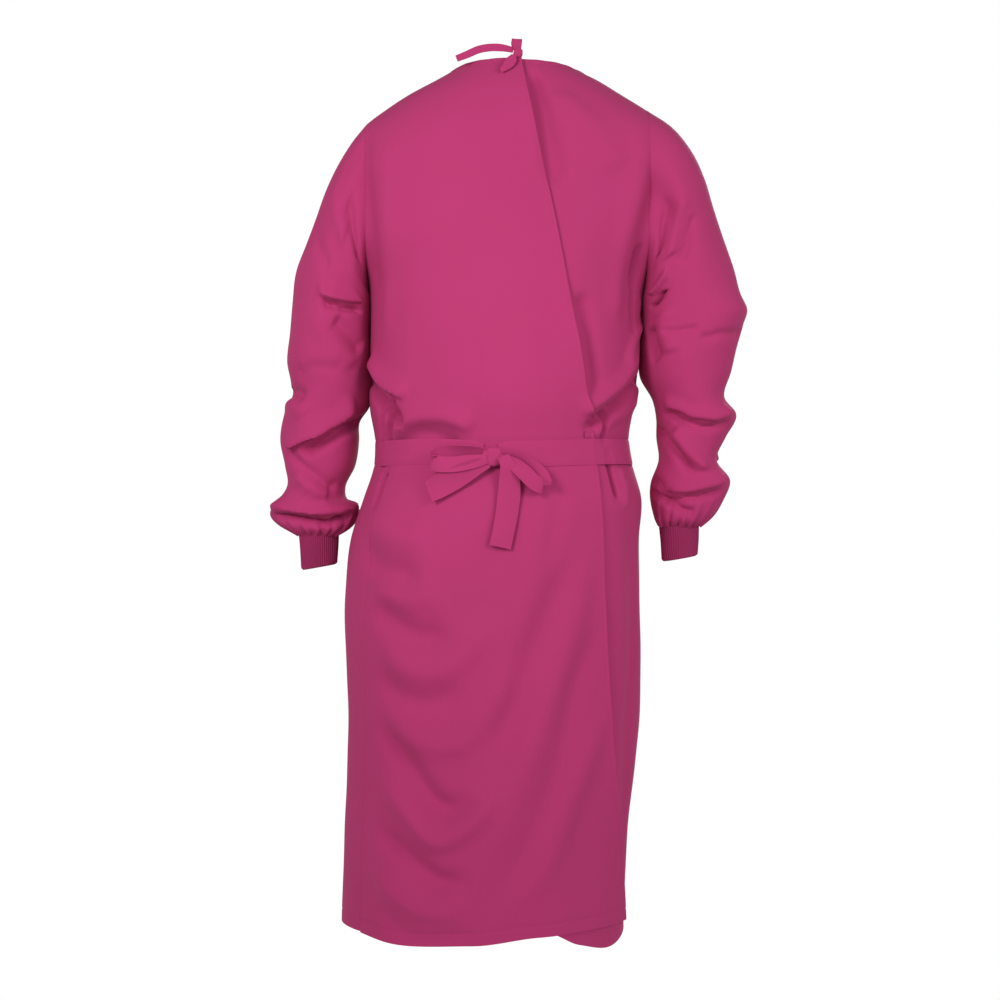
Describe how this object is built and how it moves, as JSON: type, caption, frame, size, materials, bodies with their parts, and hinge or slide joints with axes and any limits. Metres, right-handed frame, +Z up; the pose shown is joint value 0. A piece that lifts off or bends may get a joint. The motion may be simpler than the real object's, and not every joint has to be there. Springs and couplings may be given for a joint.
{
  "type": "patient gown",
  "caption": "Long-sleeved woven gown that wraps over at the back, with a bound neck, knitted cuffs and ties at the neck and waist.",
  "frame": {"origin": "centre of the neck opening at the height of the back of the neck", "axes": "+Z up, +Y the way the wearer faces, so the ties are at -Y; the wearer's left is -X"},
  "size_m": [0.637, 0.334, 1.194],
  "materials": {
    "cloth": "matt plain weave, raspberry",
    "knit": "ribbed knit, raspberry",
    "tape": "folded and stitched woven tape, raspberry",
    "thread": "dense stitching, dark raspberry"
  },
  "bodies": {
    "gown": {"front_panel": "cloth", "left_back_panel": "cloth", "right_back_panel": "cloth", "neck_binding": "tape", "left_waist_band": "tape", "right_waist_band": "tape", "waist_knot": "tape", "waist_left_loop": "tape", "waist_right_loop": "tape", "neck_knot": "tape", "neck_loop": "tape", "left_slot_tack": "thread", "right_slot_tack": "thread", "lap_edge_tab": "tape"},
    "left_arm": {"left_sleeve": "cloth", "left_cuff": "knit"},
    "right_arm": {"right_sleeve": "cloth", "right_cuff": "knit"},
    "waist_left_end": {"waist_left_tail": "tape"},
    "waist_right_end": {"waist_right_tail": "tape"},
    "neck_long_end": {"neck_long_tail": "tape"},
    "neck_short_end": {"neck_short_tail": "tape"}
  },
  "joints": [
    {"name": "left_sleeve_lift", "type": "hinge", "parent": "gown", "child": "left_arm", "pos_m": [-0.205, 0, -0.15], "axis": [0, 1, 0], "range_deg": [0, 45]},
    {"name": "right_sleeve_lift", "type": "hinge", "parent": "gown", "child": "right_arm", "pos_m": [0.182, 0, -0.15], "axis": [0, -1, 0], "range_deg": [0, 45]},
    {"name": "waist_left_tail_swing", "type": "hinge", "parent": "gown", "child": "waist_left_end", "pos_m": [-0.0436, -0.1515, -0.566], "axis": [0, 0, 1], "range_deg": [0, 50]},
    {"name": "waist_right_tail_lift", "type": "hinge", "parent": "gown", "child": "waist_right_end", "pos_m": [-0.012, -0.1504, -0.556], "axis": [-1, 0, 0], "range_deg": [0, 60]},
    {"name": "neck_long_tail_swing", "type": "hinge", "parent": "gown", "child": "neck_long_end", "pos_m": [-0.0042, -0.077, -0.008], "axis": [0, 0, 1], "range_deg": [0, 50]},
    {"name": "neck_short_tail_swing", "type": "hinge", "parent": "gown", "child": "neck_short_end", "pos_m": [-0.0042, -0.0845, -0.019], "axis": [0, 0, 1], "range_deg": [0, 45]}
  ]
}
